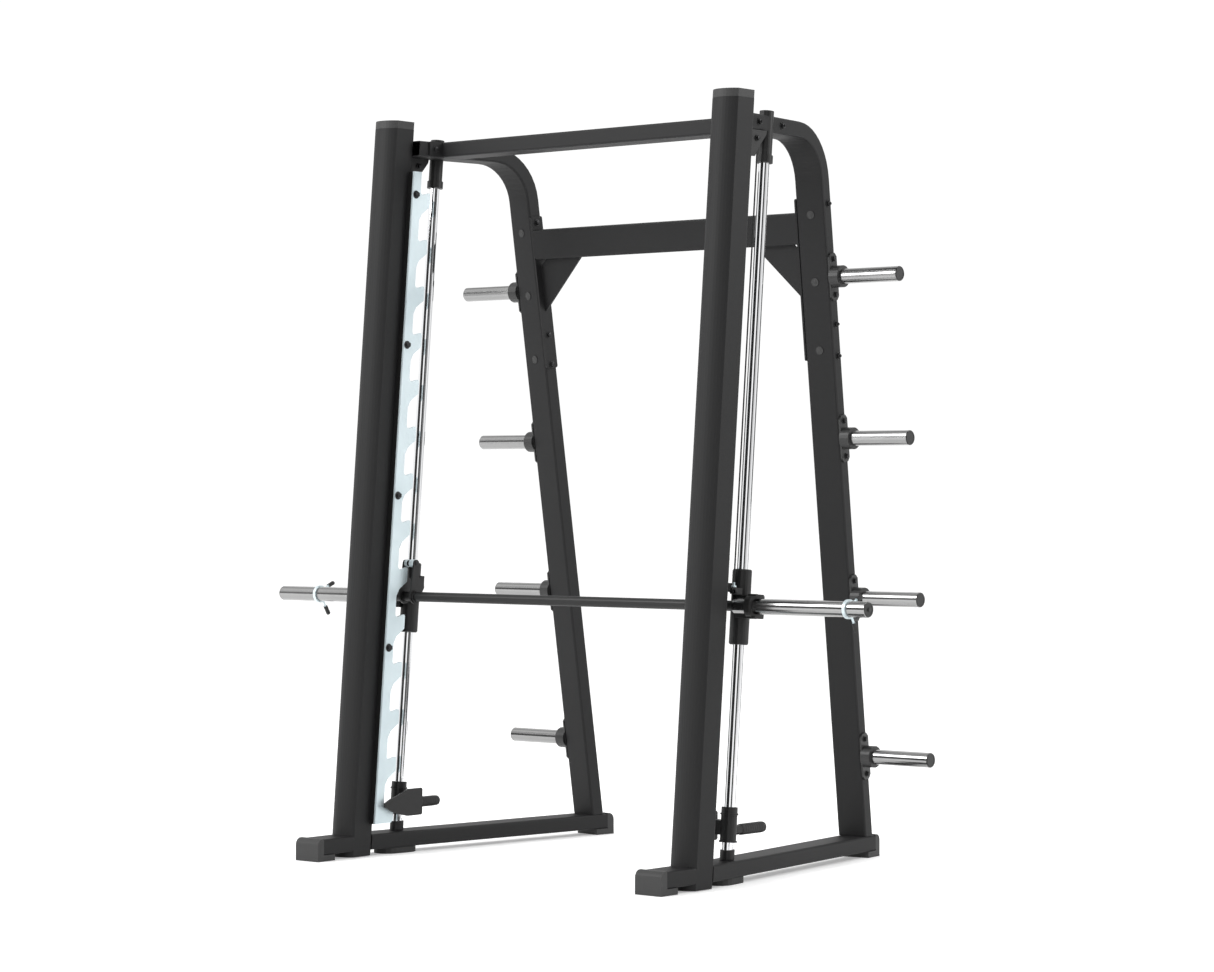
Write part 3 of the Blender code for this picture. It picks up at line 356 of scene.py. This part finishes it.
# %% Give every solid its finish
slot_finish = {
    "frame": charcoal_coat, "plastic": cap_plastic, "black": black_paint, "chrome": rod_chrome,
    "satin": turned_chrome, "zinc": zinc_with_painted_reflection, "iron": cast_iron, "rubber": soft_rubber,
}
node_slot = {part["node"]: part["material_slot"] for part in frame["record"]["subparts"]}
for name, node in frame["nodes"].items():
    if not node.material_slots:
        node.data.materials.append(None)
    for material_slot in node.material_slots:
        material_slot.material = slot_finish[node_slot[name]]
for number, look in peg_finishes.items():
    for side in ("right", "left"):
        frame["nodes"][f"storage_peg_{number}_{side}"].material_slots[0].material = look
print("dressed", len(node_slot), "nodes")

# %% [markdown]
# ## Small tools
# Bolts, caps and grips are round or six-sided, so two shapes make nearly all of them: a
# profile spun about an axis, and a hexagon with its corners bevelled. Each piece is made
# on the right-hand side, then mirrored for the left.


# %% Put a made shape into a piece
def add_shape(bm, shape, origin, direction):
    """Stand a shape made along Z at origin, pointing along direction, inside bm."""
    turn = Vector(direction).to_track_quat("Z", "Y").to_matrix().to_4x4()
    bmesh.ops.transform(shape, matrix=Matrix.Translation(origin) @ turn, verts=shape.verts)
    bmesh.ops.recalc_face_normals(shape, faces=shape.faces)
    mesh = bpy.data.meshes.new("shape")
    shape.to_mesh(mesh)
    shape.free()
    bm.from_mesh(mesh)
    bpy.data.meshes.remove(mesh)


# %% Spin a profile of radius and height
def add_turned(bm, profile, origin, direction, segments=40):
    shape = bmesh.new()
    verts = [shape.verts.new((radius, 0, height)) for radius, height in profile]
    edges = [shape.edges.new(pair) for pair in zip(verts, verts[1:])]
    bmesh.ops.spin(
        shape, geom=verts + edges, cent=(0, 0, 0), axis=(0, 0, 1), angle=2 * pi, steps=segments,
        use_merge=True,
    )
    bmesh.ops.remove_doubles(shape, verts=shape.verts, dist=0.000001)
    add_shape(bm, shape, origin, direction)


# %% A six-sided head or nut
def add_hexagon(bm, origin, direction, radius, height):
    shape = bmesh.new()
    bmesh.ops.create_cone(shape, cap_ends=True, segments=6, radius1=radius, radius2=radius, depth=height)
    bmesh.ops.translate(shape, verts=shape.verts, vec=(0, 0, height / 2))
    bmesh.ops.bevel(
        shape, geom=shape.edges[:], offset=height * 0.10, segments=2, profile=0.5, affect="EDGES", material=-1
    )
    add_shape(bm, shape, origin, direction)


# %% Finish a piece on both sides
def finish_piece(bm, name, body, look, mirror=False):
    if mirror:
        bmesh.ops.scale(bm, vec=(-1, 1, 1), verts=bm.verts)
        bmesh.ops.reverse_faces(bm, faces=bm.faces)
    mesh = bpy.data.meshes.new(name)
    bm.to_mesh(mesh)
    bm.free()
    mesh.shade_smooth()
    mesh.set_sharp_from_angle(angle=radians(38))
    mesh.materials.append(look)
    piece = bpy.data.objects.new(name, mesh)
    bpy.context.scene.collection.objects.link(piece)
    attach(piece, body)
    return piece


def both_sides(build, name, body, look):
    """build fills a bmesh for the right side. body may hold {side}."""
    for side in ("right", "left"):
        bm = bmesh.new()
        build(bm)
        faces = len(bm.faces)
        finish_piece(bm, f"{name}_{side}", body.format(side=side), look, side == "left")
    print(name, faces, "faces a side")


# %% [markdown]
# ## Frame bolts
# The crossbars and pegs are bolted on, so the machine can be shipped flat. A bolt shows a
# hexagon head on a washer at one side and a nut with a little thread at the other. The
# parts of one joint share a centre line.


# %% A washer, a head and a nut
def add_bolt_head(bm, point, direction, radius=0.0085):
    direction = Vector(direction).normalized()
    wide = radius * 1.35
    washer = [(0, SEAT_GAP), (wide, SEAT_GAP), (wide, 0.0016), (radius * 1.28, 0.0021), (0, 0.0021)]
    add_turned(bm, washer, point, direction, 32)
    add_hexagon(bm, point + direction * 0.0023, direction, radius, radius * 0.75)


def add_nut(bm, point, direction, radius=0.0085):
    add_bolt_head(bm, point, direction, radius)
    top = 0.0023 + radius * 0.75
    thread, chamfer, end = radius * 0.55, radius * 0.42, top + 0.0042
    stud = [(0, top), (thread, top), (thread, top + 0.003), (chamfer, end), (0, end)]
    add_turned(bm, stud, point, direction, 24)


# %% Crossbar bolts
flange_face = -TUBE_HALF_WIDTH - SEAT_GAP - FLANGE_T
top_beam_z = middle("top_crossbar").z


def crossbar_bolts(bm):
    places = [(0.272, top_beam_z), (0.416, top_beam_z)] + [(leg_s(z), z) for z in (2.094, 1.715, 1.615)]
    for s, z in places:
        add_bolt_head(bm, side_point(s, flange_face, z), -outward)
        add_nut(bm, side_point(s, TUBE_HALF_WIDTH, z), outward)


both_sides(crossbar_bolts, "crossbar_bolts", "frame", bolt_black)


# %% Peg plate bolts
def peg_bolts(bm):
    for s, z in peg_places.values():
        for along in (-0.057, 0.057):
            add_bolt_head(bm, side_point(s, -flange_face, z) + leg_up * along, outward, 0.0075)


both_sides(peg_bolts, "peg_bolts", "frame", bolt_black)

# %% [markdown]
# ## Hole plugs
# The rear legs have spare holes for other fittings. Each is closed by a domed plastic
# plug with a thin rim. A spun profile gives the dome, the rim and the small step between.


# %% Plugs on the front of the rear legs
def hole_plugs(bm):
    plug = [
        (0, SEAT_GAP), (0.013, SEAT_GAP), (0.013, 0.0016), (0.0122, 0.0022),
        (0.0108, 0.0022), (0.0100, 0.0017), (0.0060, 0.0027), (0, 0.0031),
    ]
    for z in (2.0625, 1.851, 1.6355):
        add_turned(bm, plug, side_point(leg_s(z), 0, z) + leg_front * TUBE_HALF_DEPTH, leg_front, 36)


both_sides(hole_plugs, "hole_plugs", "frame", cap_plastic)

# %% [markdown]
# ## Notch plate bolts
# Four bolts with plain hexagon heads hold each zinc notch plate to its rail. Their heads
# are on the inner side.

# %% Bolts along the notch plate
plate_inner_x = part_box("notch_plate_right")[0][0]


def plate_bolts(bm):
    for z in (2.159, 1.664, 1.1705, 0.675):
        add_bolt_head(bm, Vector((plate_inner_x, rear_face(z) - 0.002, z)), (-1, 0, 0), 0.0098)


both_sides(plate_bolts, "plate_bolts", "frame", bolt_black)

# %% [markdown]
# ## Hook rollers and pin heads
# The hook's pin carries two zinc rollers, one each side of the notch plate, and is headed
# over outside the hook plates. The pin stands above the bar, so its place comes from the
# bar's hinge. The rollers are rings that keep clear of the notch plate between them.

# %% Rollers on the hook pin
hook_reach, hook_tilt = 0.109, radians(3)
pin_at = bar_at + Vector((0, sin(hook_tilt), cos(hook_tilt))) * hook_reach


def hook_rollers(bm):
    for x, width in ((0.6101, 0.0186), (0.6392, 0.0102)):
        roller = [(0.0103, 0), (0.0119, 0), (0.0127, 0.0010), (0.0127, width - 0.001), (0.0119, width),
                  (0.0103, width), (0.0103, 0)]
        add_turned(bm, roller, Vector((x, pin_at.y, pin_at.z)), (1, 0, 0), 40)


def pin_heads(bm):
    head = [(0, SEAT_GAP), (0.0078, SEAT_GAP), (0.0078, 0.0018), (0.0062, 0.0028), (0, 0.0030)]
    add_turned(bm, head, Vector((0.6035, pin_at.y, pin_at.z)), (-1, 0, 0), 32)
    flat_head = head[:2] + [(0.0078, 0.0012), (0, 0.0014)]
    add_turned(bm, flat_head, Vector((0.6560, pin_at.y, pin_at.z)), (1, 0, 0), 32)


both_sides(hook_rollers, "hook_rollers", "bar", zinc_with_painted_reflection)
both_sides(pin_heads, "pin_heads", "bar", bolt_black)

# %% [markdown]
# ## Ends of the sleeves and pegs
# A black plastic plug closes each tube. It has a raised rim and a shallow dish, and the
# sleeve's plug is held by a bolt that keeps the sleeve on the bar.


# %% Dished end plugs
def end_plug(radius):
    return [
        (0, SEAT_GAP), (radius, SEAT_GAP), (radius, 0.0020), (radius - 0.0012, 0.0030),
        (radius - 0.0042, 0.0030), (radius - 0.0055, 0.0016), (0, 0.0016),
    ]


def peg_ends(bm):
    for number in peg_places:
        spot = middle(f"storage_peg_{number}_right")
        end_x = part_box(f"storage_peg_{number}_right")[1][0]
        add_turned(bm, end_plug(0.0225), Vector((end_x, spot.y, spot.z)), (1, 0, 0), 48)


def sleeve_ends(bm):
    end = Vector((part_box("sleeve_right")[1][0], bar_at.y, bar_at.z))
    add_turned(bm, end_plug(0.0218), end, (1, 0, 0), 48)
    add_hexagon(bm, end + Vector((0.0018, 0, 0)), (1, 0, 0), 0.0068, 0.0035)


both_sides(peg_ends, "peg_ends", "frame", end_plastic)
both_sides(sleeve_ends, "sleeve_ends", "sleeve_{side}", end_plastic)

# %% [markdown]
# ## Spring collar grips
# A spring collar is squeezed by two dipped grips. Each grip is a soft sleeve with a round
# end over the wire. The left and right collars stand at different places, so each is
# made from its own solid's box instead of being mirrored.

# %% Dipped grips
for side in ("right", "left"):
    bm = bmesh.new()
    ring = Vector((middle(f"spring_collar_{side}").x, bar_at.y, bar_at.z))
    for start, end in (((0.020, 0.018), (0.062, 0.036)), ((0.014, -0.022), (0.040, -0.066))):
        start, end = Vector((0, *start)), Vector((0, *end))
        length = (end - start).length
        grip = [
            (0, length + SEAT_GAP), (0.0057, length + SEAT_GAP), (0.0057, length * 0.43),
            (0.0064, length * 0.43), (0.0070, length * 0.47), (0.0066, length * 0.72),
            (0.0070, length * 0.96), (0.0060, length + 0.0020), (0.0032, length + 0.0036),
            (0, length + 0.0040),
        ]
        add_turned(bm, grip, ring + start, end - start, 28)
    finish_piece(bm, f"collar_grips_{side}", f"spring_collar_{side}", soft_rubber)

# %% [markdown]
# ## Carriage details
# Each carriage tube ends in a wiper that keeps dust out of the linear bearing. The cable
# ends in a zinc eye on a stud, bolted to the lug in front of the tube. Both follow the
# guide rod's slope, so their places are found along it.

# %% Wipers and the cable's eye
rod_low, rod_high = (Vector(corner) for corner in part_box("guide_rod_right"))
rod_x = (rod_low.x + rod_high.x) / 2
tube_middle = Vector((rod_x, bar_at.y, bar_at.z)) + Vector((0, cos(lean), -sin(lean))) * 0.066


def wipers(bm):
    ring = [
        (0.0180, SEAT_GAP), (0.0282, SEAT_GAP), (0.0282, 0.0022), (0.0262, 0.0034),
        (0.0190, 0.0034), (0.0180, 0.0024), (0.0180, SEAT_GAP),
    ]
    for way in (-1, 1):
        add_turned(bm, ring, tube_middle + along_rod * way * 0.1115, along_rod * way, 48)


lug_middle = tube_middle + Vector((upright_x - rod_x, 0, 0)) + Vector((0, -cos(lean), sin(lean))) * 0.060


def cable_eye(bm):
    stud = [(0, 0.0563), (0.0050, 0.0563), (0.0050, 0.0630), (0.0035, 0.0640), (0.0035, 0.0717), (0, 0.0717)]
    add_turned(bm, stud, lug_middle, along_rod, 28)
    add_hexagon(bm, lug_middle + along_rod * 0.0566, along_rod, 0.0080, 0.0055)


def lug_bolts(bm):
    for way in (-1, 1):
        point = lug_middle + Vector((way * 0.004, 0, 0)) + along_rod * 0.045
        add_bolt_head(bm, point, (way, 0, 0), 0.0070)


both_sides(wipers, "bearing_wipers", "carriages", end_plastic)
both_sides(cable_eye, "cable_eye", "carriages", zinc_with_painted_reflection)
both_sides(lug_bolts, "lug_bolts", "carriages", bolt_black)


# %% Pulley axle bolts
def axle_bolts(bm):
    spot = middle("pulley_rear_right")
    for way in (-1, 1):
        add_bolt_head(bm, Vector((upright_x + way * 0.0135, spot.y, spot.z)), (way, 0, 0), 0.0075)


both_sides(axle_bolts, "axle_bolts", "frame", bolt_black)

# %% [markdown]
# ## Safety stop grips
# The stop is turned by a short handle with a ribbed rubber grip. The ribs come from a
# profile that steps in and out, and its last points round the end off.

# %% Ribbed grips on the stop handles
latch_high = Vector(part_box("stop_latch_right")[1])


def stop_grips(bm):
    start = Vector((0.682, latch_high.y - 0.112, 0.156))
    grip = [(0, 0.1123), (0.0154, 0.1123), (0.0154, 0), (0.0160, 0)]
    for rib in range(9):
        height = 0.004 + rib * 0.0112
        grip += [
            (0.0172, height), (0.0172, height + 0.0074),
            (0.0163, height + 0.0085), (0.0163, height + 0.0104),
        ]
    grip += [(0.0168, 0.1080), (0.0160, 0.1150), (0.0130, 0.1190), (0.0080, 0.1215), (0, 0.1222)]
    add_turned(bm, grip, start, (0, 1, 0), 40)


both_sides(stop_grips, "stop_grips", "stop_latch_{side}", soft_rubber)

# %% [markdown]
# ## Floor, light and camera
# The machine stands on a pale studio floor that runs to the horizon. The floor glows a
# little, so it stays white under the machine. A large soft light from the front left and
# a smaller one from behind on the right shape the tubes without a hard shadow. Chrome
# needs something dark to reflect, so the sky has dark bands that the camera never sees.

# %% Floor
floor_look = new_finish(
    "studio_floor", (0.90, 0.90, 0.90), (0.92, 0.92, 0.92), (0.92, 0.92, 0.92), (0.75, 0.85),
    drift_scale=0.6, rubbing=0.0, grain_scale=60.0, grain_strength=0.02,
)
floor_shader = floor_look.node_tree.nodes["Principled BSDF"]
floor_shader.inputs["Emission Color"].default_value = (1, 1, 1, 1)
floor_shader.inputs["Emission Strength"].default_value = 0.30
bm = bmesh.new()
bmesh.ops.create_grid(bm, x_segments=1, y_segments=1, size=60)
floor_mesh = bpy.data.meshes.new("studio_floor")
bm.to_mesh(floor_mesh)
bm.free()
floor_mesh.materials.append(floor_look)
floor = bpy.data.objects.new("studio_floor", floor_mesh)
floor.location.z = -0.0005
bpy.context.scene.collection.objects.link(floor)

# %% Light all round, with dark bands for the chrome to reflect
world = bpy.data.worlds.new("studio")
bpy.context.scene.world = world
world.use_nodes = True
tree = world.node_tree
backdrop = tree.nodes["Background"]
backdrop.inputs["Color"].default_value = (1, 1, 1, 1)
backdrop.inputs["Strength"].default_value = 1.05
bands = tree.nodes.new("ShaderNodeBackground")
bands.inputs["Strength"].default_value = 1.25
sky_place = tree.nodes.new("ShaderNodeTexCoord")
sky_axes = tree.nodes.new("ShaderNodeSeparateXYZ")
turn_round = tree.nodes.new("ShaderNodeMath")
turn_round.operation = "ARCTAN2"
share = tree.nodes.new("ShaderNodeMapRange")
share.inputs["From Min"].default_value = -pi
share.inputs["From Max"].default_value = pi
ramp = tree.nodes.new("ShaderNodeValToRGB")
shades = [
    (0.0, 0.95), (0.10, 1.0), (0.13, 0.04), (0.17, 0.04), (0.20, 0.9), (0.38, 1.0),
    (0.42, 0.05), (0.50, 0.05), (0.53, 0.85), (0.66, 0.95), (0.69, 0.10), (0.72, 0.10),
    (0.76, 1.0), (0.90, 0.9), (0.94, 0.35), (1.0, 0.95),
]
while len(ramp.color_ramp.elements) < len(shades):
    ramp.color_ramp.elements.new(0.5)
for element, (position, brightness) in zip(ramp.color_ramp.elements, shades):
    element.position = position
    element.color = (brightness, brightness, brightness, 1)
seen_by = tree.nodes.new("ShaderNodeLightPath")
choose = tree.nodes.new("ShaderNodeMixShader")
tree.links.new(sky_place.outputs["Generated"], sky_axes.inputs["Vector"])
tree.links.new(sky_axes.outputs["Y"], turn_round.inputs[0])
tree.links.new(sky_axes.outputs["X"], turn_round.inputs[1])
tree.links.new(turn_round.outputs["Value"], share.inputs["Value"])
tree.links.new(share.outputs["Result"], ramp.inputs["Fac"])
tree.links.new(ramp.outputs["Color"], bands.inputs["Color"])
tree.links.new(seen_by.outputs["Is Camera Ray"], choose.inputs["Fac"])
tree.links.new(bands.outputs["Background"], choose.inputs[1])
tree.links.new(backdrop.outputs["Background"], choose.inputs[2])
tree.links.new(choose.outputs["Shader"], tree.nodes["World Output"].inputs["Surface"])
bpy.context.scene.view_settings.view_transform = "Standard"
for name, place, size, power in (("key", (-3.5, -6.0, 5.5), 4.0, 420), ("rim", (5.0, 3.0, 4.5), 3.0, 160)):
    lamp = bpy.data.lights.new(name, "AREA")
    lamp.size = size
    lamp.energy = power
    holder = bpy.data.objects.new(name, lamp)
    holder.location = place
    holder.rotation_euler = (Vector((0, 0, 1.1)) - Vector(place)).to_track_quat("-Z", "Y").to_euler()
    bpy.context.scene.collection.objects.link(holder)

# %% Camera
lens = bpy.data.cameras.new("camera")
lens.lens = 100
lens.sensor_width = 36
lens.clip_end = 200
camera = bpy.data.objects.new("camera", lens)
camera.location = (6.9715, -8.3088, 1.2016)
camera.rotation_euler = (radians(90), 0, radians(40))
bpy.context.scene.collection.objects.link(camera)
bpy.context.scene.camera = camera
